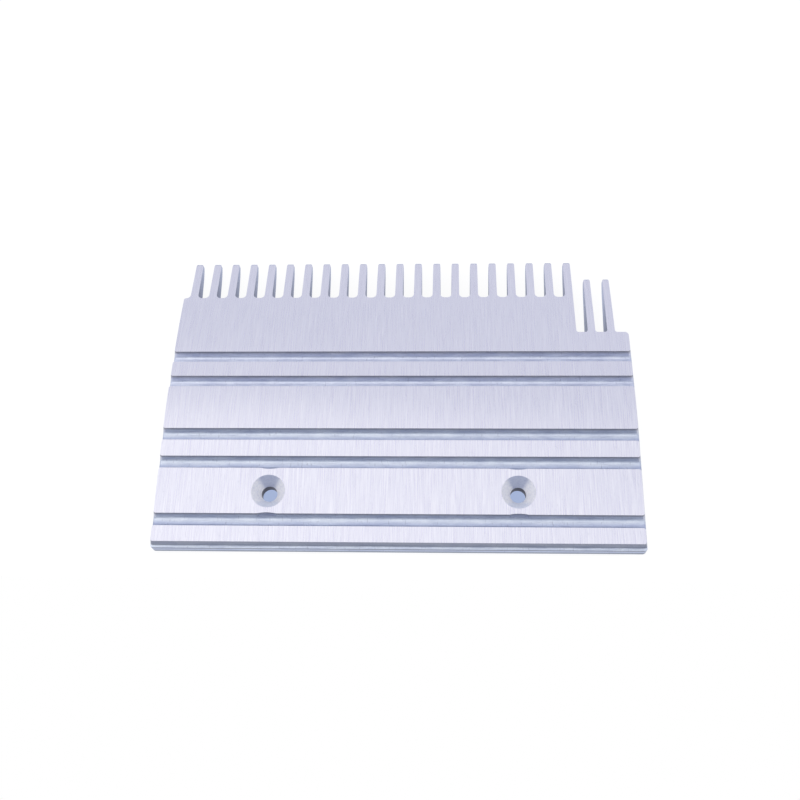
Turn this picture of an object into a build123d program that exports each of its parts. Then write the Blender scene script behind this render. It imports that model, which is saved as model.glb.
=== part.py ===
from build123d import *
import math
import os

os.makedirs("parts", exist_ok=True)

# All lengths are in millimetres and all angles in degrees.
# The origin is on the seat face, midway between the two screw holes.
# +X runs along the comb row, +Y runs towards the tooth tips and +Z is up.
# A reach is a distance in Y measured from the rear edge of the top face.

# The comb row
TOOTH_PITCH = 9.068
TOOTH_COUNT = 23
SET_BACK_TEETH = 2
START_MARGIN = 0.3
END_MARGIN = 3.4
TIP_WIDTH = 3.45
SET_BACK_TIP_WIDTH = 3.1
TOOTH_PLAN_TAPER = 0.4
TOOTH_DRAFT = 1.0
TOOTH_LENGTH = 21.7
SET_BACK_TOOTH_LENGTH = 32.1
TIP_PLAN_RADIUS = 1.2
TIP_TOP_RADIUS = 0.7
TIP_FOOT_RADIUS = 0.6
TIP_HEIGHT = 1.5
TIP_CURVE_LENGTH = 8.2
TIP_CURVE_RADIUS = 20.3
ROOT_RADIUS = 2.1
SET_BACK_ROOT_RADIUS = 1.2

# The bent plate, whose first bend starts inside the third groove
PLATE_THICKNESS = 9.0
BEND_1_START = 1.15
BEND_1_LENGTH = 26.0
BEND_1_ANGLE = 8.0
BETWEEN_BENDS = 21.0
BEND_2_LENGTH = 22.0
BEND_2_ANGLE = 12.8

# The sides and the rear foot
SIDE_LEAN = 12.0
SIDE_LEAN_DEPTH = 5.0
REAR_FOOT = 2.0
FOOT_PLAN_RADIUS = 1.6
FOOT_EDGE_RADIUS = 0.6
LEFT_CORNER_RADIUS = 1.2
RIGHT_CORNER_RADIUS = 1.8

# The grooves across the top, with the lands between them from the rear
GROOVE_WIDTH = 5.6
GROOVE_DEPTH = 3.9
GROOVE_WALL_LEAN = 11.0
GROOVE_FOOT_RADIUS = 1.4
GROOVE_MOUTH_RADIUS = 1.0
REAR_LAND = 7.05
SCREW_LAND = 20.9
NARROW_LAND = 7.7
BENT_LAND = 21.4
APRON = 31.85
SET_BACK_APRON = 10.75

# The countersunk screw holes
SCREW_SPACING = 109.3
SCREW_REACH = 22.85
SCREW_HOLE_DIAMETER = 7.0
COUNTERSINK_DIAMETER = 15.0
COUNTERSINK_ANGLE = 82.0

# The shallow hollows in the land edges beside the screws
EDGE_HOLLOW_CHORD = 8.3
EDGE_HOLLOW_DEPTH = 0.45

# The cast pockets in the underside, each spanning a few tooth pitches less a rib
POCKET_TEETH = 3
POCKET_DEPTH = 3.5
POCKET_WALL = 2.3
RIB_THICKNESS = 3.6
POCKET_CORNER_RADIUS = 2.0
APRON_POCKET_WALL = 6.5

# How far each cutter runs past the solid that it cuts
CLEARANCE = 2.0

# The height of the short straight piece between a bend that stops early and a level line
BEND_OVERLAP = 0.1

WIDTH = START_MARGIN + TOOTH_PITCH * TOOTH_COUNT + END_MARGIN
X_LEFT = -TOOTH_PITCH * TOOTH_COUNT / 2
X_RIGHT = X_LEFT + WIDTH
Y_REAR = -SCREW_REACH
SIDE_STEP = SIDE_LEAN_DEPTH * math.tan(math.radians(SIDE_LEAN))
FLAT_LENGTH = REAR_LAND + SCREW_LAND + NARROW_LAND + 2 * GROOVE_WIDTH + BEND_1_START
BEND_1_RADIUS = BEND_1_LENGTH / math.sin(math.radians(BEND_1_ANGLE))
BEND_2_RADIUS = BEND_2_LENGTH / (
    math.sin(math.radians(BEND_2_ANGLE)) - math.sin(math.radians(BEND_1_ANGLE))
)
BEND_1_END = FLAT_LENGTH + BEND_1_LENGTH
BEND_2_REACH = BEND_1_END + BETWEEN_BENDS
BEND_2_END = BEND_2_REACH + BEND_2_LENGTH
LAST_GROOVE_END = REAR_LAND + SCREW_LAND + 2 * NARROW_LAND + BENT_LAND + 5 * GROOVE_WIDTH
ROOT_REACH = LAST_GROOVE_END + APRON
SET_BACK_ROOT_REACH = LAST_GROOVE_END + SET_BACK_APRON
TIP_REACH = ROOT_REACH + TOOTH_LENGTH
SHORT_TIP_REACH = SET_BACK_ROOT_REACH + SET_BACK_TOOTH_LENGTH
STEP_TOOTH = TOOTH_COUNT - SET_BACK_TEETH
FLANK_SLOPE = math.tan(math.radians(TOOTH_DRAFT))
PLAN_SLOPE = math.tan(math.radians(TOOTH_PLAN_TAPER))
LAST_SLOPE = math.tan(math.radians(BEND_2_ANGLE))


def top_at(reach):
    """Height of the top face and its downward slope in degrees at a reach."""
    if reach <= FLAT_LENGTH:
        return PLATE_THICKNESS, 0.0
    angle = math.asin(min(reach - FLAT_LENGTH, BEND_1_LENGTH) / BEND_1_RADIUS)
    height = PLATE_THICKNESS - BEND_1_RADIUS * (1 - math.cos(angle))
    if reach <= BEND_1_END:
        return height, math.degrees(angle)
    first = math.radians(BEND_1_ANGLE)
    height -= (min(reach, BEND_2_REACH) - BEND_1_END) * math.tan(first)
    if reach <= BEND_2_REACH:
        return height, BEND_1_ANGLE
    run = min(reach - BEND_2_REACH, BEND_2_LENGTH)
    angle = math.asin(math.sin(first) + run / BEND_2_RADIUS)
    height -= BEND_2_RADIUS * (math.cos(first) - math.cos(angle))
    if reach <= BEND_2_END:
        return height, math.degrees(angle)
    height -= (reach - BEND_2_END) * LAST_SLOPE
    return height, BEND_2_ANGLE


def section_point(reach, depth):
    """Point of the side section at a depth square below the top face."""
    height, slope = top_at(reach)
    angle = math.radians(slope)
    return Y_REAR + reach - depth * math.sin(angle), height - depth * math.cos(angle)


def bent_edges(depth, start, end, bend_end=BEND_2_END):
    """Edges of the bent section line at one depth, from the start point to the end point.
    The second bend may stop early, at a reach where the line turns level."""
    bend_1_middle = FLAT_LENGTH + BEND_1_LENGTH / 2
    bend_2_middle = (BEND_2_REACH + bend_end) / 2
    a = section_point(FLAT_LENGTH, depth)
    b = section_point(bend_1_middle, depth)
    c = section_point(BEND_1_END, depth)
    d = section_point(BEND_2_REACH, depth)
    e = section_point(bend_2_middle, depth)
    f = section_point(bend_end, depth)
    return [
        Line(start, a),
        ThreePointArc(a, b, c),
        Line(c, d),
        ThreePointArc(d, e, f),
        Line(f, end),
    ]


def underside_end(level):
    """Reach where the underside's second bend stops, and Y where it meets a level below."""
    y_under, z_under = section_point(BEND_2_END, PLATE_THICKNESS)
    if z_under >= level:
        return BEND_2_END, y_under + (z_under - level) / LAST_SLOPE
    first = math.radians(BEND_1_ANGLE)
    radius = BEND_2_RADIUS - PLATE_THICKNESS
    fall = section_point(BEND_2_REACH, PLATE_THICKNESS)[1] - level - BEND_OVERLAP
    angle = math.acos(math.cos(first) - fall / radius)
    bend_end = BEND_2_REACH + BEND_2_RADIUS * (math.sin(angle) - math.sin(first))
    y_bend = section_point(bend_end, PLATE_THICKNESS)[0]
    return bend_end, y_bend + BEND_OVERLAP / math.tan(angle)


def tooth_level(tip_reach):
    """Height of the level stretch under the teeth that end at this tip reach."""
    turn = math.asin(TIP_CURVE_LENGTH / TIP_CURVE_RADIUS)
    return top_at(tip_reach)[0] - TIP_HEIGHT - TIP_CURVE_RADIUS * (1 - math.cos(turn))


FOOT_LEVEL = tooth_level(TIP_REACH)


def nearest_vertex(shape, point):
    return shape.vertices().sort_by_distance(point)[0]


def side_section(tip_reach):
    """Closed side section from the rear foot to the tooth tips."""
    y_tip = Y_REAR + tip_reach
    z_tip = top_at(tip_reach)[0]
    y_foot = Y_REAR - REAR_FOOT
    level = tooth_level(tip_reach)
    bend_end, y_level = underside_end(level)
    y_curve = y_tip - TIP_CURVE_LENGTH
    half_turn = math.asin(TIP_CURVE_LENGTH / TIP_CURVE_RADIUS) / 2
    curve_middle = (
        y_curve + TIP_CURVE_RADIUS * math.sin(half_turn),
        level + TIP_CURVE_RADIUS * (1 - math.cos(half_turn)),
    )
    tip_top = (y_tip, z_tip)
    tip_foot = (y_tip, z_tip - TIP_HEIGHT)
    edges = bent_edges(0, (y_foot, PLATE_THICKNESS), tip_top)
    edges.append(Line(tip_top, tip_foot))
    edges.append(ThreePointArc(tip_foot, curve_middle, (y_curve, level)))
    edges.append(Line((y_curve, level), (y_level, level)))
    edges += bent_edges(PLATE_THICKNESS, (y_foot, 0), (y_level, level), bend_end)
    edges.append(Line((y_foot, 0), (y_foot, PLATE_THICKNESS)))
    face = make_face(edges)
    face = fillet(nearest_vertex(face, tip_top), TIP_TOP_RADIUS)
    return fillet(nearest_vertex(face, tip_foot), TIP_FOOT_RADIUS)


def body_length(face, x_start, x_end):
    """The side section run from one X to another."""
    return extrude(Plane.YZ.offset(x_start) * face, x_end - x_start)


def tooth_x(number):
    return X_LEFT + START_MARGIN + (number - 0.5) * TOOTH_PITCH


def tip_of(number):
    """Reach of the tip of a tooth, numbered from the left."""
    return TIP_REACH if number <= STEP_TOOTH else SHORT_TIP_REACH


def half_tooth(number, reach, height):
    """Half the thickness of a tooth, from its width on the top face at the tip."""
    width = TIP_WIDTH if number <= STEP_TOOTH else SET_BACK_TIP_WIDTH
    behind_tip = tip_of(number) - reach
    top_height = top_at(tip_of(number))[0] + behind_tip * LAST_SLOPE
    return width / 2 + PLAN_SLOPE * behind_tip + FLANK_SLOPE * (top_height - height)


def beside_tooth(number, way, root_reach, z_top, z_low):
    """Space on one side of a tooth, from the root line to past the tips."""
    x_tooth = tooth_x(number)
    x_far = x_tooth + way * 2 * TOOTH_PITCH
    x_top = x_tooth + way * half_tooth(number, root_reach, z_top)
    x_low = x_tooth + way * half_tooth(number, root_reach, z_low)
    corners = [(x_top, z_top), (x_far, z_top), (x_far, z_low), (x_low, z_low)]
    run = TIP_REACH + CLEARANCE - root_reach
    along = Vector(-way * PLAN_SLOPE * run, run, -LAST_SLOPE * run)
    root_plane = Plane.XZ.offset(-Y_REAR - root_reach)
    return extrude(root_plane * make_face(Polyline(*corners, close=True)), along.length, dir=along)


def gap_cutter(low_tooth, high_tooth, root_reach, root_radius):
    """Cutter for the gap between two teeth, numbered from the left.
    Number 0 and the number after the last tooth leave that side open."""
    z_top = top_at(root_reach)[0] + CLEARANCE
    z_low = FOOT_LEVEL - CLEARANCE
    z_middle = (z_top + z_low) / 2
    y_end = Y_REAR + TIP_REACH + CLEARANCE
    cutter = None
    roots = []
    tips = []
    tip_boxes = []
    for number, way in ((low_tooth, 1), (high_tooth, -1)):
        if number < 1 or number > TOOTH_COUNT:
            continue
        side = beside_tooth(number, way, root_reach, z_top, z_low)
        cutter = side if cutter is None else cutter & side
        x_tooth = tooth_x(number)
        tip_reach = tip_of(number)
        y_tip = Y_REAR + tip_reach
        z_tip = z_middle - LAST_SLOPE * (tip_reach - root_reach)
        x_root = x_tooth + way * half_tooth(number, root_reach, z_middle)
        x_tip = x_tooth + way * half_tooth(number, tip_reach, z_tip)
        roots.append((x_root, Y_REAR + root_reach, z_middle))
        tips.append((x_tip, y_tip, z_tip))
        width = TIP_WIDTH / 2 + CLEARANCE
        end = Box(width, y_end - y_tip, z_top - z_low, align=(Align.CENTER, Align.MIN, Align.MIN))
        tip_boxes.append(Pos(x_tooth + way * width / 2, y_tip, z_low) * end)
    for box in tip_boxes:
        cutter += box
    for points, radius in ((roots, root_radius), (tips, TIP_PLAN_RADIUS)):
        for point in points:
            edge = cutter.edges().sort_by_distance(point)[0]
            cutter = fillet(edge, radius)
    return cutter


def groove_section():
    """Groove section with its mouth on the X axis and its floor below."""
    slope = math.tan(math.radians(GROOVE_WALL_LEAN))
    mouth = GROOVE_WIDTH / 2 + CLEARANCE * slope
    foot = GROOVE_WIDTH / 2 - GROOVE_DEPTH * slope
    points = [(-mouth, CLEARANCE), (mouth, CLEARANCE), (foot, -GROOVE_DEPTH), (-foot, -GROOVE_DEPTH)]
    face = make_face(Polyline(*points, close=True))
    for point in points[2:]:
        face = fillet(nearest_vertex(face, point), GROOVE_FOOT_RADIUS)
    return face


# The bent plate and its two blocks of teeth
x_middle = (X_LEFT + X_RIGHT) / 2
x_step = X_LEFT + START_MARGIN + STEP_TOOTH * TOOTH_PITCH
body = body_length(side_section(TIP_REACH), X_LEFT - SIDE_STEP, x_step)
body += body_length(side_section(SHORT_TIP_REACH), x_step, X_RIGHT + SIDE_STEP)

# The plan corners of the rear foot
foot_corners = [
    edge for edge in body.edges().filter_by(Axis.Z)
    if edge.bounding_box().max.Y < Y_REAR
]
body = fillet(foot_corners, FOOT_PLAN_RADIUS)

# The leaning sides, cut along the bent top edge
lean_slope = math.tan(math.radians(SIDE_LEAN))
y_lean_start = Y_REAR - REAR_FOOT - CLEARANCE
lean_end_reach = TIP_REACH + CLEARANCE
lean_end = (Y_REAR + lean_end_reach, top_at(lean_end_reach)[0])
lean_path = Plane.YZ * Wire([
    edge.edge() for edge in bent_edges(0, (y_lean_start, PLATE_THICKNESS), lean_end)
])
for x_edge, way in ((X_LEFT, -1), (X_RIGHT, 1)):
    wedge = [
        (-way * CLEARANCE * lean_slope, CLEARANCE),
        (way * (SIDE_STEP + CLEARANCE), CLEARANCE),
        (way * (SIDE_STEP + CLEARANCE), -SIDE_LEAN_DEPTH),
        (way * SIDE_STEP, -SIDE_LEAN_DEPTH),
    ]
    start = Plane(origin=(x_edge, y_lean_start, PLATE_THICKNESS), x_dir=(1, 0, 0), z_dir=(0, -1, 0))
    section = start * make_face(Polyline(*wedge, close=True))
    body -= sweep(section, path=Pos(x_edge, 0, 0) * lean_path)

# The gaps beside the teeth
for number in range(TOOTH_COUNT + 1):
    if number < STEP_TOOTH:
        body -= gap_cutter(number, number + 1, ROOT_REACH, ROOT_RADIUS)
    else:
        body -= gap_cutter(number, number + 1, SET_BACK_ROOT_REACH, SET_BACK_ROOT_RADIUS)


# The front corners of the plate, outside the first and last teeth
def front_corner_edges(x_side, root_reach):
    """Upright edges of the plate's front corner at one side."""
    return [
        edge for edge in body.edges()
        if abs(edge.center().X - x_side) < SIDE_STEP
        and abs(edge.center().Y - Y_REAR - root_reach) < ROOT_RADIUS
        and edge.bounding_box().size.Z > PLATE_THICKNESS / 4
        and edge.bounding_box().size.Y < ROOT_RADIUS
    ]


body = fillet(front_corner_edges(X_LEFT - SIDE_STEP / 2, ROOT_REACH), LEFT_CORNER_RADIUS)
body = fillet(front_corner_edges(X_RIGHT + SIDE_STEP / 2, SET_BACK_ROOT_REACH), RIGHT_CORNER_RADIUS)

# The five grooves
reach = REAR_LAND
groove_reaches = []
for land in (SCREW_LAND, NARROW_LAND, BENT_LAND, NARROW_LAND, APRON):
    groove_reaches.append(reach + GROOVE_WIDTH / 2)
    reach += GROOVE_WIDTH + land
half_run = WIDTH / 2 + SIDE_STEP + CLEARANCE
for groove_reach in groove_reaches:
    y_mouth, z_mouth = section_point(groove_reach, 0)
    slope = math.radians(top_at(groove_reach)[1])
    across = Plane(
        origin=(x_middle - half_run, y_mouth, z_mouth),
        x_dir=(0, math.cos(slope), -math.sin(slope)),
        z_dir=(1, 0, 0),
    )
    body -= extrude(across * groove_section(), 2 * half_run)

# The step down to the rear foot, with the foot's outer edge rounded
wall_slope = math.tan(math.radians(GROOVE_WALL_LEAN))
ledge_level = PLATE_THICKNESS - GROOVE_DEPTH
y_outer = Y_REAR - REAR_FOOT
bow = FOOT_EDGE_RADIUS * (1 - math.sqrt(0.5))
ledge_start = (Y_REAR + CLEARANCE * wall_slope, PLATE_THICKNESS + CLEARANCE)
ledge_foot = (Y_REAR - GROOVE_DEPTH * wall_slope, ledge_level)
round_start = (y_outer + FOOT_EDGE_RADIUS, ledge_level)
round_middle = (y_outer + bow, ledge_level - bow)
round_end = (y_outer, ledge_level - FOOT_EDGE_RADIUS)
clear_low = (y_outer - CLEARANCE, ledge_level - FOOT_EDGE_RADIUS)
clear_high = (y_outer - CLEARANCE, PLATE_THICKNESS + CLEARANCE)
ledge_face = make_face([
    Line(ledge_start, ledge_foot),
    Line(ledge_foot, round_start),
    ThreePointArc(round_start, round_middle, round_end),
    Line(round_end, clear_low),
    Line(clear_low, clear_high),
    Line(clear_high, ledge_start),
])
body -= extrude(Plane.YZ.offset(x_middle - half_run) * ledge_face, 2 * half_run)

# The rear corners of the rear land
land_corners = [
    edge for edge in body.edges()
    if abs(abs(edge.center().X - x_middle) - WIDTH / 2) < SIDE_STEP
    and abs(edge.center().Y - Y_REAR) < GROOVE_DEPTH * wall_slope
    and edge.bounding_box().size.Z > GROOVE_DEPTH * 0.9
    and edge.bounding_box().min.Z > ledge_level - FOOT_EDGE_RADIUS / 4
]
body = fillet(land_corners, GROOVE_MOUTH_RADIUS)


# The rounded mouths of the grooves at both sides
def mouth_edges(x_side, groove_reach):
    """Edges of one groove where it runs out through one side."""
    y_groove, z_floor = section_point(groove_reach, GROOVE_DEPTH)
    y_mouth = section_point(groove_reach, 0)[0]
    span = GROOVE_WIDTH / 2 + GROOVE_FOOT_RADIUS / 2
    return [
        edge for edge in body.edges()
        if abs(edge.center().X - x_side) < SIDE_STEP / 2 + GROOVE_FOOT_RADIUS / 4
        and edge.bounding_box().size.X < SIDE_STEP * 1.2
        and edge.bounding_box().min.Y > y_groove - span
        and edge.bounding_box().max.Y < y_mouth + span
        and edge.bounding_box().min.Z > z_floor - GROOVE_FOOT_RADIUS
    ]


for groove_reach in groove_reaches:
    for x_side in (X_LEFT - SIDE_STEP / 2, X_RIGHT + SIDE_STEP / 2):
        body = fillet(mouth_edges(x_side, groove_reach), GROOVE_MOUTH_RADIUS)

# The countersunk screw holes
screw_radius = SCREW_HOLE_DIAMETER / 2
sink_radius = COUNTERSINK_DIAMETER / 2
sink_slope = math.tan(math.radians(COUNTERSINK_ANGLE / 2))
sink_depth = (sink_radius - screw_radius) / sink_slope
for x_screw in (-SCREW_SPACING / 2, SCREW_SPACING / 2):
    hole = Cylinder(screw_radius, PLATE_THICKNESS + 2 * CLEARANCE)
    body -= Pos(x_screw, 0, PLATE_THICKNESS / 2) * hole
    sink = Cone(screw_radius, sink_radius + CLEARANCE * sink_slope, sink_depth + CLEARANCE)
    body -= Pos(x_screw, 0, PLATE_THICKNESS - (sink_depth - CLEARANCE) / 2) * sink

# The shallow hollows in the land edges on both sides of each screw.
# Each is cut straight down, so it runs out where the leaning wall meets it.
far_edge = Y_REAR + REAR_LAND + GROOVE_WIDTH
near_edge = far_edge + SCREW_LAND
half_chord = EDGE_HOLLOW_CHORD / 2
hollow_fall = GROOVE_DEPTH - GROOVE_FOOT_RADIUS
for x_screw in (-SCREW_SPACING / 2, SCREW_SPACING / 2):
    for y_edge, way in ((far_edge, 1), (near_edge, -1)):
        low = (x_screw - half_chord, y_edge)
        high = (x_screw + half_chord, y_edge)
        deep = (x_screw, y_edge + way * EDGE_HOLLOW_DEPTH)
        out_low = (x_screw - half_chord, y_edge - way * CLEARANCE)
        out_high = (x_screw + half_chord, y_edge - way * CLEARANCE)
        face = make_face([
            ThreePointArc(low, deep, high),
            Line(high, out_high),
            Line(out_high, out_low),
            Line(out_low, low),
        ])
        body -= Pos(0, 0, PLATE_THICKNESS - hollow_fall) * extrude(face, hollow_fall + CLEARANCE)

# The cast pockets in the underside
pocket_pitch = POCKET_TEETH * TOOTH_PITCH
pocket_width = pocket_pitch - RIB_THICKNESS
pocket_columns = TOOTH_COUNT // POCKET_TEETH


def pocket(x_centre, reach, length):
    """Pocket cutter set square to the underside."""
    y, z = section_point(reach, PLATE_THICKNESS)
    slope = math.radians(top_at(reach)[1])
    up = (0, math.sin(slope), math.cos(slope))
    mouth = Plane(origin=(x_centre, y, z), x_dir=(1, 0, 0), z_dir=up).offset(-CLEARANCE)
    outline = RectangleRounded(pocket_width, length, POCKET_CORNER_RADIUS)
    return extrude(mouth * outline, POCKET_DEPTH + CLEARANCE)


pocket_rows = (
    (REAR_LAND + GROOVE_WIDTH, SCREW_LAND, POCKET_WALL),
    (LAST_GROOVE_END - 2 * GROOVE_WIDTH - NARROW_LAND - BENT_LAND, BENT_LAND, POCKET_WALL),
    (LAST_GROOVE_END, APRON, APRON_POCKET_WALL),
)
for row_start, row_length, wall in pocket_rows:
    for column in range(pocket_columns):
        x_centre = (column - (pocket_columns - 1) / 2) * pocket_pitch
        beside_screw = abs(abs(x_centre) - SCREW_SPACING / 2) < pocket_width / 2
        if row_start < SCREW_REACH and beside_screw:
            continue
        if row_start + row_length > SET_BACK_ROOT_REACH and x_centre + pocket_width / 2 > x_step:
            continue
        body -= pocket(x_centre, row_start + row_length / 2, row_length - 2 * wall)

body.label = "comb_plate"
export_step(body, "parts/comb_plate.step")
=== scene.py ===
import math

import bpy
from mathutils import Matrix, Vector

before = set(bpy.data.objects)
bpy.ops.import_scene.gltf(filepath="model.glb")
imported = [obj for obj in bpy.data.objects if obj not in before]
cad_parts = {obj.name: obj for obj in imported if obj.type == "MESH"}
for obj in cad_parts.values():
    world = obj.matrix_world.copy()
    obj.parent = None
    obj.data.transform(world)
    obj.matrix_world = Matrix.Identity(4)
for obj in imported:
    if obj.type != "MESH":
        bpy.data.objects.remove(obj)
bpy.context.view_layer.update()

# Lengths are in metres, in the part's own frame: +X along the comb row,
# +Y towards the tooth tips, +Z up, and the origin on the seat face.
# A pair of numbers is where a change starts and where it ends.
# Colours are red, green and blue, and a tone is multiplied into a colour.

# The bent top face, with bends and grooves measured forward from its rear edge
REAR_EDGE = -0.02285
TOP_HEIGHT = 0.009
FIRST_BEND = 0.061
FIRST_FALL = 0.1405
SECOND_BEND = 0.106
SECOND_FALL = 0.0866
GROOVE_STARTS = (0.00705, 0.03355, 0.04685, 0.07385, 0.08715)
FRONT_GROOVES = (0.060, 0.075)

# What counts as a linished land: close to the top face and nearly level
LAND_SKIN = 0.0015
LAND_LEVEL = 0.96

# The countersunk screw holes
SCREW_SPACING = 0.1093
SINK_RADIUS = 0.0075
BORE_RADIUS = 0.0035
CONE_SLOPE = (0.3, 0.9)
RADIUS_MARGIN = 0.0001

# The teeth along Y, the last of which are set back
TOOTH_ROOTS = 0.101
TOOTH_TIPS = 0.1235
SET_BACK = 0.021
SET_BACK_SIDE = 0.086
ROOT_LEAD = 0.006
ROOT_RUN = 0.002

# The rear face with its small foot, and how upright or turned a face is
REAR_MARGIN = 0.00005
FOOT_DEPTH = 0.0049
FOOT_SHADE_FADE = (0.0056, 0.0078)
STEEP = (0.80, 0.40)
FACING_REAR = (-0.30, -0.60)

# Patterns: how tightly each axis repeats per metre, and how fine and rough it is
BRUSH_LINES = {"stretch": (2300.0, 60.0, 200.0), "detail": 3.0, "roughness": 0.65}
BROAD_STREAKS = {"stretch": (400.0, 12.0, 40.0), "detail": 2.0}
SPECKS = {"stretch": (1800.0, 420.0, 500.0), "detail": 1.0}
GRAIN = {"stretch": (1300.0, 1300.0, 1300.0), "detail": 3.0, "roughness": 0.6}
BLOTCHES = {"stretch": (110.0, 420.0, 420.0), "detail": 4.0, "roughness": 0.6}
TURNING_MARKS = {"stretch": (900.0, 900.0, 2000.0), "detail": 2.0}

# Linished lands
STREAK_RANGE = (0.3, 0.7)
SPECK_RANGE = (0.66, 0.74)
BRUSH_DARK = (0.73, 0.73, 0.83)
BRUSH_LIGHT = (0.97, 0.97, 1.0)
STREAK = (0.82, 0.83, 0.90)
STREAK_SHARE = 0.3
LAND_SPECK = (0.68, 0.69, 0.76)
LAND_SPECK_SHARE = 0.35
EVEN_LAND = (0.86, 0.86, 0.93)
EVEN_RANGE = (0.03, 0.10)
EVEN_SHARE = 0.45

# Cast skin
BLOTCH_RANGE = (0.36, 0.64)
SKIN_DARK = (0.64, 0.70, 0.84)
SKIN_LIGHT = (0.82, 0.88, 0.98)
GRAIN_RANGE = (0.4, 0.8)
GRAIN_COLOUR = (0.60, 0.65, 0.77)
GRAIN_SHARE = 0.35
SKIN_SPECK = (0.45, 0.49, 0.60)
SKIN_SPECK_SHARE = 0.5
# Painted shade in the screw bores
BORE_SHADE = (0.05, 0.055, 0.085)

# Painted light and shade on the cast faces, as tones
WHITE = (1.0, 1.0, 1.0)
WALL_SHADE_FADE = (0.0002, 0.0022)
WALL_TOP_SHADE = (0.50, 0.45, 0.41)
WALL_FOOT_SHADE = (0.98, 0.93, 0.87)
FRONT_WALL_FOOT_LIGHT = (1.09, 1.03, 1.01)
FLOOR_SHADE_FADE = (0.0019, 0.0036)
FLOOR_SHADE = (0.75, 0.77, 0.84)
FLOOR_PAINTED_LIGHT = (1.06, 1.06, 1.02)
FRONT_FLOOR_PAINTED_LIGHT = (1.08, 1.06, 1.05)
FRONT_FLOOR_SHADE_CLEARED = 0.7
REAR_FACE_SHADE = (0.53, 0.51, 0.50)
FOOT_LOW_SHADE = (0.56, 0.56, 0.54)
FLANK_ROOT_SHADE = (0.38, 0.38, 0.42)
FLANK_TIP_SHADE = (0.85, 0.84, 0.86)
END_FACE_SHADE = (0.88, 0.85, 0.79)
SHELF_SHADE = (0.50, 0.52, 0.60)
SHELF_DEPTH = 0.0030
SHELF_LEVEL = 0.9

# Turned cones, with painted highlights and painted shade
MARK_RANGE = (0.36, 0.56)
MARK_DARK = (0.86, 0.87, 0.92)
PAINTED_FAN_RANGE = (0.45, 0.85)
CONE_NEAR_SHADE = (0.83, 0.87, 0.95)
CONE_FAR_SHADE = (0.53, 0.57, 0.69)

# Gloss and relief
LAND_LINE_RANGE = (0.2, 0.8)
LAND_ROUGHNESS = (0.24, 0.34)
SKIN_BLOTCH_RANGE = (0.3, 0.7)
SKIN_ROUGHNESS = (0.36, 0.46)
CONE_DULLNESS = 0.95
LAND_SPREAD = 0.6
CONE_SPREAD = 0.9
LINE_HEIGHT = 0.8
BLOTCH_HEIGHT = 8.0
MARK_HEIGHT = 6.0
BUMP_STRENGTH = 0.3
BUMP_DISTANCE = 0.0001

# The table that the plate lies on: it touches the rear foot and the tooth feet
REAR_FOOT_Y = -0.02485
TOOTH_FOOT_Y = 0.097
TOOTH_FOOT_Z = -0.0097
TABLE_BEHIND = 0.012
TABLE_SIZE = 4.0
TABLE_GAP = 0.0001
TABLE_DIFFUSE = (0.17, 0.17, 0.17)
TABLE_GLOW = (0.90, 0.90, 0.895)
TABLE_REFLECTED = (0.63, 0.65, 0.74)
# A shadow painted on the table under the plate, seen through the holes
UNDER_PLATE_SHADOW = (0.33, 0.41, 0.62)
UNDER_SIDE = (0.095, 0.08)
UNDER_REAR = (0.010, 0.016)
UNDER_FRONT = (0.09, 0.07)

# The studio sky: behind and ahead of the camera, and overhead, where it leans to the left
SKY_BEHIND = (0.58, 0.60, 0.68)
SKY_AHEAD = (0.71, 0.72, 0.82)
SKY_AHEAD_RANGE = (-0.5, 0.2)
SKY_OVERHEAD = (1.085, 1.075, 1.13)
SKY_LEAN = 0.4
LEFT_RISE = (0.80, 0.93)
LEFT_RISE_SHARE = 0.62
LEFT_PEAK = (0.93, 1.04)
LEFT_PEAK_SHARE = 0.38
ZENITH_RISE = (0.89, 0.935)
ZENITH_SHARE = 0.76

# The photograph's view
IMAGE_SIZE = 800
SENSOR_WIDTH = 36.0
FOCAL_PIXELS = 1058.1
CAMERA_PLACE = (0.0240746, -0.1452025, 0.4472659)
CAMERA_DOWN = 1.162136
CAMERA_TURN = 0.114582
CAMERA_ROLL = -0.104516
CLIP_NEAR = 0.01
CLIP_FAR = 20.0


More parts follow.
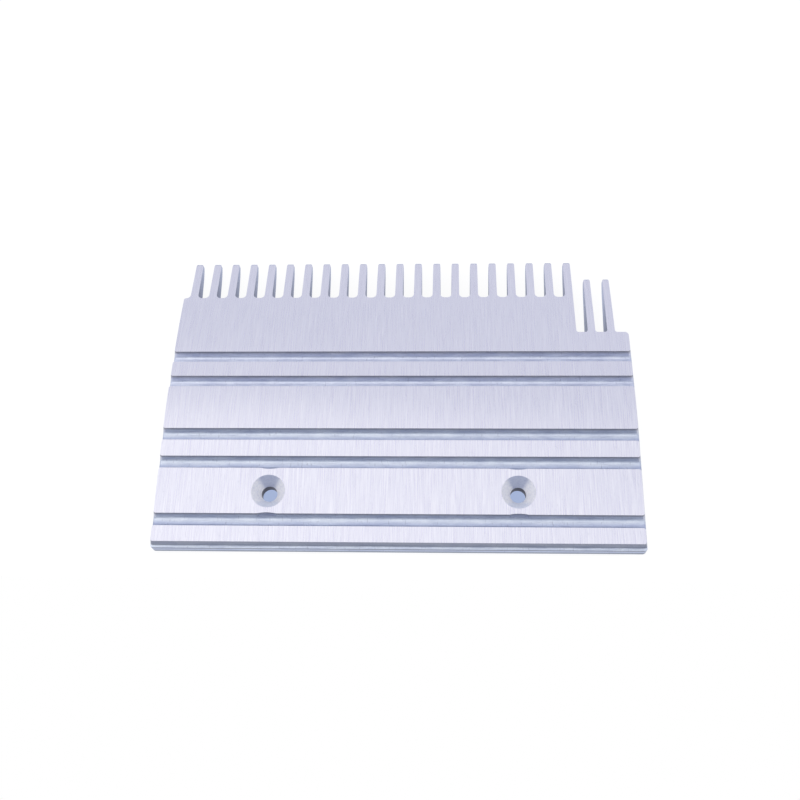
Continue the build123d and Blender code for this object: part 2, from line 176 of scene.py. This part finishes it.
class Nodes:
    """Small helper that adds and links nodes in one tree."""

    def __init__(self, tree):
        self.tree = tree

    def add(self, kind, **values):
        node = self.tree.nodes.new(kind)
        for name, value in values.items():
            setattr(node, name, value)
        return node

    def link(self, source, target):
        self.tree.links.new(source, target)

    def put(self, socket, value):
        """Links a socket to an output, or sets a plain value or colour on it."""
        if isinstance(value, bpy.types.NodeSocket):
            self.link(value, socket)
        elif socket.type == "RGBA":
            socket.default_value = (*value, 1.0)
        else:
            socket.default_value = value

    def split(self, vector):
        """The three parts of a vector."""
        node = self.add("ShaderNodeSeparateXYZ")
        self.link(vector, node.inputs[0])
        return node.outputs

    def math(self, operation, first, second=0.0):
        node = self.add("ShaderNodeMath", operation=operation)
        for socket, value in zip(node.inputs, (first, second)):
            self.put(socket, value)
        return node.outputs[0]

    def product(self, first, second):
        return self.math("MULTIPLY", first, second)

    def total(self, first, second):
        return self.math("ADD", first, second)

    def rest(self, share):
        """What a share leaves of one."""
        return self.math("SUBTRACT", 1.0, share)

    def ramp(self, value, change, result=(0.0, 1.0), smooth=False):
        """Goes from the first result to the second while the value makes the change."""
        node = self.add("ShaderNodeMapRange")
        node.interpolation_type = "SMOOTHSTEP" if smooth else "LINEAR"
        for socket, item in zip(node.inputs, (value, *change, *result)):
            self.put(socket, item)
        return node.outputs[0]

    def mix(self, factor, first, second, blend="MIX"):
        node = self.add("ShaderNodeMix", data_type="RGBA", blend_type=blend)
        self.put(node.inputs["Factor"], factor)
        colours = [socket for socket in node.inputs if socket.type == "RGBA"]
        self.put(colours[0], first)
        self.put(colours[1], second)
        return [socket for socket in node.outputs if socket.type == "RGBA"][0]

    def toned(self, colour, tone):
        """A colour with a tone multiplied into it."""
        return self.mix(1.0, colour, tone, "MULTIPLY")

    def noise(self, place, stretch, detail, roughness=0.5):
        scaled = self.add("ShaderNodeVectorMath", operation="MULTIPLY")
        self.put(scaled.inputs[0], place)
        self.put(scaled.inputs[1], stretch)
        node = self.add("ShaderNodeTexNoise")
        self.put(node.inputs["Vector"], scaled.outputs[0])
        self.put(node.inputs["Scale"], 1.0)
        self.put(node.inputs["Detail"], detail)
        self.put(node.inputs["Roughness"], roughness)
        return node.outputs["Fac"]


class Plate:
    """Where a shaded point lies on the plate, and the patterns there, as node outputs."""

    def __init__(self, n):
        self.place = n.add("ShaderNodeTexCoord").outputs["Object"]
        self.x, self.y, self.z = n.split(self.place)
        normal = n.add("ShaderNodeNewGeometry").outputs["True Normal"]
        _, self.frontward, self.upward = n.split(normal)
        self.measure_depth(n)
        self.measure_screws(n)
        self.lines = n.noise(self.place, **BRUSH_LINES)
        self.spots = n.ramp(n.noise(self.place, **SPECKS), SPECK_RANGE)
        self.grain = n.noise(self.place, **GRAIN)
        self.blotch = n.noise(self.place, **BLOTCHES)
        self.marks = n.noise(self.place, **TURNING_MARKS)

    def measure_depth(self, n):
        """How far a point lies in front of the rear edge and below the bent top face."""
        self.reach = n.math("SUBTRACT", self.y, REAR_EDGE)
        top = TOP_HEIGHT
        for bend, fall in ((FIRST_BEND, FIRST_FALL), (SECOND_BEND, SECOND_FALL)):
            past_bend = n.math("MAXIMUM", n.math("SUBTRACT", self.reach, bend), 0.0)
            top = n.math("SUBTRACT", top, n.product(past_bend, fall))
        self.below = n.math("SUBTRACT", top, self.z)
        near_top = n.math("LESS_THAN", self.below, LAND_SKIN)
        self.land = n.product(near_top, n.math("GREATER_THAN", self.upward, LAND_LEVEL))
        self.cast = n.rest(self.land)

    def measure_screws(self, n):
        """How far a point lies from the nearer screw, and whether it is on a turned cone."""
        screw_x = n.product(n.math("SIGN", self.x), SCREW_SPACING / 2)
        self.from_screw = n.math("SUBTRACT", self.x, screw_x)
        squares = n.total(n.product(self.from_screw, self.from_screw), n.product(self.y, self.y))
        self.radius = n.math("SQRT", squares)
        in_sink = n.math("LESS_THAN", self.radius, SINK_RADIUS + RADIUS_MARGIN)
        lowest, highest = CONE_SLOPE
        under = n.math("LESS_THAN", self.upward, highest)
        over = n.math("GREATER_THAN", self.upward, lowest)
        self.turned = n.product(in_sink, n.product(under, over))


def land_colour(n, plate):
    """Brush lines along Y with broad streaks and a few specks, more even towards the teeth."""
    colour = n.mix(n.ramp(plate.lines, STREAK_RANGE), BRUSH_DARK, BRUSH_LIGHT)
    broad = n.noise(plate.place, **BROAD_STREAKS)
    colour = n.mix(n.ramp(broad, STREAK_RANGE, (0.0, STREAK_SHARE)), colour, STREAK)
    colour = n.mix(n.product(plate.spots, LAND_SPECK_SHARE), colour, LAND_SPECK)
    return n.mix(n.ramp(plate.reach, EVEN_RANGE, (0.0, EVEN_SHARE)), colour, EVEN_LAND)


def skin_colour(n, plate):
    """Cast skin with blotches, grain and specks."""
    colour = n.mix(n.ramp(plate.blotch, BLOTCH_RANGE), SKIN_DARK, SKIN_LIGHT)
    colour = n.mix(n.ramp(plate.grain, GRAIN_RANGE, (0.0, GRAIN_SHARE)), colour, GRAIN_COLOUR)
    return n.mix(n.product(plate.spots, SKIN_SPECK_SHARE), colour, SKIN_SPECK)


def wall_light_and_shade(n, plate, in_front):
    """Painted shade on the groove walls, darkest under the land edge, with painted light at the
    foot of the front ones.
    """
    foot = n.mix(in_front, WALL_FOOT_SHADE, FRONT_WALL_FOOT_LIGHT)
    return n.mix(n.ramp(plate.below, WALL_SHADE_FADE), WALL_TOP_SHADE, foot)


def floor_light_and_shade(n, plate, in_front):
    """Painted shade on the groove floors along their rear side, less in the front grooves, and
    painted light on the rest of the floors.
    """
    shade = 0.0
    full, gone = FLOOR_SHADE_FADE
    for start in GROOVE_STARTS:
        fading = n.ramp(plate.reach, (start + full, start + gone), (1.0, 0.0), smooth=True)
        inside = n.math("GREATER_THAN", plate.reach, start)
        shade = n.total(shade, n.product(fading, inside))
    shade = n.product(shade, n.rest(n.product(in_front, FRONT_FLOOR_SHADE_CLEARED)))
    light = n.mix(in_front, FLOOR_PAINTED_LIGHT, FRONT_FLOOR_PAINTED_LIGHT)
    return n.mix(shade, light, FLOOR_SHADE)


def rear_shade(n, plate):
    """Painted shade on the rear face above its small foot, and on the foot, darkening downward."""
    foot = n.mix(n.ramp(plate.below, FOOT_SHADE_FADE), WHITE, FOOT_LOW_SHADE)
    in_foot = n.math("GREATER_THAN", plate.below, FOOT_DEPTH)
    return n.mix(in_foot, REAR_FACE_SHADE, foot)


def end_shade(n, plate):
    """Painted shade on the ends of the plate and on the tooth flanks, darkest at the roots."""
    set_back = n.product(n.math("GREATER_THAN", plate.x, SET_BACK_SIDE), SET_BACK)
    along_tooth = n.total(plate.y, set_back)
    flank_shade = n.mix(n.ramp(along_tooth, (TOOTH_ROOTS, TOOTH_TIPS)), FLANK_ROOT_SHADE, FLANK_TIP_SHADE)
    onset = (TOOTH_ROOTS - ROOT_LEAD, TOOTH_ROOTS + ROOT_RUN)
    return n.mix(n.ramp(along_tooth, onset, smooth=True), END_FACE_SHADE, flank_shade)


def cast_colour(n, plate):
    """The cast skin, with light and shade painted by the kind of face that a point is on."""
    in_front = n.ramp(plate.reach, FRONT_GROOVES)
    behind = n.math("LESS_THAN", plate.reach, REAR_MARGIN)
    rearward_tone = n.mix(behind, wall_light_and_shade(n, plate, in_front), rear_shade(n, plate))
    facing_rear = n.ramp(plate.frontward, FACING_REAR)
    steep_tone = n.mix(facing_rear, end_shade(n, plate), rearward_tone)
    tone = n.mix(n.ramp(plate.upward, STEEP), floor_light_and_shade(n, plate, in_front), steep_tone)

    # Painted shade on the level shelves of the hollows in the land edges beside the screws
    shallow = n.math("LESS_THAN", plate.below, SHELF_DEPTH)
    shelf = n.product(shallow, n.math("GREATER_THAN", plate.upward, SHELF_LEVEL))
    tone = n.mix(shelf, tone, SHELF_SHADE)
    # Painted shade in the screw bores
    bore = n.math("LESS_THAN", plate.radius, BORE_RADIUS + RADIUS_MARGIN)
    return n.mix(bore, n.toned(skin_colour(n, plate), tone), BORE_SHADE)


def turned_marks_and_painted_fans(n, plate):
    """Turning marks, with painted highlights in two fans to the left and right of each screw, and
    painted shade on the near and far sides of the cones.
    """
    colour = n.mix(n.ramp(plate.marks, MARK_RANGE), MARK_DARK, WHITE)
    sideways = n.math("DIVIDE", n.math("ABSOLUTE", plate.from_screw), plate.radius)
    off_fan_shade = n.mix(n.math("GREATER_THAN", plate.y, 0.0), CONE_NEAR_SHADE, CONE_FAR_SHADE)
    return n.toned(colour, n.mix(n.ramp(sideways, PAINTED_FAN_RANGE, smooth=True), off_fan_shade, WHITE))


def set_gloss(n, shader, plate):
    """Glossy lands, duller cast skin and nearly matt cones."""
    land = n.ramp(plate.lines, LAND_LINE_RANGE, LAND_ROUGHNESS)
    skin = n.ramp(plate.blotch, SKIN_BLOTCH_RANGE, SKIN_ROUGHNESS)
    roughness = n.total(n.product(plate.land, land), n.product(plate.cast, skin))
    n.link(roughness, shader.inputs["Roughness"])
    n.link(n.rest(n.product(plate.turned, CONE_DULLNESS)), shader.inputs["Metallic"])


def set_highlights(n, shader, plate):
    """Highlights spread square to the brush lines and to the turning marks round each screw."""
    outward = n.add("ShaderNodeCombineXYZ")
    n.link(plate.from_screw, outward.inputs[0])
    n.link(plate.y, outward.inputs[1])
    spread = n.mix(plate.turned, (1.0, 0.0, 0.0), outward.outputs[0])
    n.link(spread, shader.inputs["Tangent"])
    strength = n.total(n.product(plate.land, LAND_SPREAD), n.product(plate.turned, CONE_SPREAD))
    n.link(strength, shader.inputs["Anisotropic"])


def set_relief(n, shader, plate):
    """Fine relief of the brush lines, the cast skin and the turning marks."""
    land = n.product(plate.land, n.product(plate.lines, LINE_HEIGHT))
    skin = n.product(plate.cast, n.total(plate.grain, n.product(plate.blotch, BLOTCH_HEIGHT)))
    cone = n.product(plate.turned, n.product(plate.marks, MARK_HEIGHT))
    bump = n.add("ShaderNodeBump")
    bump.inputs["Strength"].default_value = BUMP_STRENGTH
    bump.inputs["Distance"].default_value = BUMP_DISTANCE
    n.link(n.total(n.total(land, skin), cone), bump.inputs["Height"])
    n.link(bump.outputs[0], shader.inputs["Normal"])


def new_material(name):
    """A new material, with the helper for its nodes and its main shader."""
    material = bpy.data.materials.new(name)
    material.use_nodes = True
    tree = material.node_tree
    return material, Nodes(tree), tree.nodes["Principled BSDF"]


def comb_metal():
    """Cast aluminium with the tread lands and tooth tops linished along Y."""
    material, n, shader = new_material("comb metal")
    plate = Plate(n)
    colour = n.mix(plate.land, cast_colour(n, plate), land_colour(n, plate))
    colour = n.mix(plate.turned, colour, turned_marks_and_painted_fans(n, plate))
    n.link(colour, shader.inputs["Base Color"])
    set_gloss(n, shader, plate)
    set_highlights(n, shader, plate)
    set_relief(n, shader, plate)
    return material


def under_plate_shadow(n):
    """One where a shadow is painted on the table under the plate, which shows through the holes."""
    x, y, _ = n.split(n.add("ShaderNodeTexCoord").outputs["Object"])
    across = n.ramp(n.math("ABSOLUTE", x), UNDER_SIDE)
    along = n.product(n.ramp(y, UNDER_REAR), n.ramp(y, UNDER_FRONT))
    return n.product(across, along)


def table_material():
    """Pale table that glows a little, so that it reads white with a soft shadow."""
    material, n, shader = new_material("table")
    n.put(shader.inputs["Base Color"], TABLE_DIFFUSE)
    n.put(shader.inputs["Roughness"], 1.0)
    n.put(shader.inputs["Specular IOR Level"], 0.0)
    path = n.add("ShaderNodeLightPath").outputs
    open_glow = n.mix(path["Is Glossy Ray"], TABLE_GLOW, TABLE_REFLECTED)
    # The camera sees a painted shadow on the table under the plate
    under = n.product(under_plate_shadow(n), path["Is Camera Ray"])
    glow = n.add("ShaderNodeEmission")
    n.link(n.mix(under, open_glow, UNDER_PLATE_SHADOW), glow.inputs["Color"])
    n.link(n.math("MAXIMUM", path["Is Camera Ray"], path["Is Glossy Ray"]), glow.inputs["Strength"])
    both = n.add("ShaderNodeAddShader")
    n.link(shader.outputs[0], both.inputs[0])
    n.link(glow.outputs[0], both.inputs[1])

    # One-sided, so that the plate can be seen from below
    one_sided = n.add("ShaderNodeMixShader")
    n.link(n.add("ShaderNodeNewGeometry").outputs["Backfacing"], one_sided.inputs[0])
    n.link(both.outputs[0], one_sided.inputs[1])
    n.link(n.add("ShaderNodeBsdfTransparent").outputs[0], one_sided.inputs[2])
    output = material.node_tree.nodes["Material Output"]
    n.link(one_sided.outputs[0], output.inputs["Surface"])
    return material


def add_table():
    """A wide flat table under the rear foot and the undersides of the teeth.
    It leans with the plate and ends a little behind it, so it never stands in front of it."""
    rise = math.atan2(-TOOTH_FOOT_Z, TOOTH_FOOT_Y - REAR_FOOT_Y)
    side, front, rear = TABLE_SIZE, TABLE_SIZE, -TABLE_BEHIND
    corners = [(-side, rear, 0), (side, rear, 0), (side, front, 0), (-side, front, 0)]
    mesh = bpy.data.meshes.new("table")
    mesh.from_pydata(corners, [], [(0, 1, 2, 3)])
    mesh.materials.append(table_material())
    table = bpy.data.objects.new("table", mesh)
    place = Matrix.Translation((0.0, REAR_FOOT_Y, -TABLE_GAP))
    table.matrix_world = place @ Matrix.Rotation(-rise, 4, "X")
    bpy.context.scene.collection.objects.link(table)


def add_world():
    """White to the camera, and for everything else a soft studio sky that is brightest
    overhead and a little to the left."""
    world = bpy.data.worlds.new("studio")
    world.use_nodes = True
    bpy.context.scene.world = world
    tree = world.node_tree
    n = Nodes(tree)
    x, y, z = n.split(n.add("ShaderNodeTexCoord").outputs["Generated"])
    leaning = n.math("SUBTRACT", z, n.product(x, SKY_LEAN))
    rise = n.ramp(leaning, LEFT_RISE, (0.0, LEFT_RISE_SHARE))
    peak = n.ramp(leaning, LEFT_PEAK, (0.0, LEFT_PEAK_SHARE))
    zenith = n.ramp(z, ZENITH_RISE, (0.0, ZENITH_SHARE))
    overhead = n.math("MAXIMUM", n.total(rise, peak), zenith)
    sides = n.mix(n.ramp(y, SKY_AHEAD_RANGE, smooth=True), SKY_BEHIND, SKY_AHEAD)
    sky = n.mix(overhead, sides, SKY_OVERHEAD)
    to_camera = n.add("ShaderNodeLightPath").outputs["Is Camera Ray"]
    background = tree.nodes["Background"]
    n.link(n.mix(to_camera, sky, WHITE), background.inputs["Color"])
    background.inputs["Strength"].default_value = 1.0


def add_camera():
    """The photograph's camera, from its downward tilt, turn about Z and roll."""
    spin = Matrix.Rotation(CAMERA_TURN, 3, "Z")
    forward = spin @ Vector((0.0, math.cos(CAMERA_DOWN), -math.sin(CAMERA_DOWN)))
    right = spin @ Vector((1.0, 0.0, 0.0))
    up = spin @ Vector((0.0, math.sin(CAMERA_DOWN), math.cos(CAMERA_DOWN)))
    rolled_right = math.cos(CAMERA_ROLL) * right + math.sin(CAMERA_ROLL) * up
    rolled_up = -math.sin(CAMERA_ROLL) * right + math.cos(CAMERA_ROLL) * up
    data = bpy.data.cameras.new("photograph")
    data.sensor_width = SENSOR_WIDTH
    data.lens = FOCAL_PIXELS * SENSOR_WIDTH / IMAGE_SIZE
    data.clip_start = CLIP_NEAR
    data.clip_end = CLIP_FAR
    camera = bpy.data.objects.new("photograph", data)
    axes = Matrix((rolled_right, rolled_up, -forward)).transposed()
    camera.matrix_world = Matrix.Translation(CAMERA_PLACE) @ axes.to_4x4()
    bpy.context.scene.collection.objects.link(camera)
    bpy.context.scene.camera = camera


plate_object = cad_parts["comb_plate"]
plate_object.data.materials.clear()
plate_object.data.materials.append(comb_metal())

add_table()
add_world()
add_camera()
bpy.context.scene.view_settings.view_transform = "Standard"
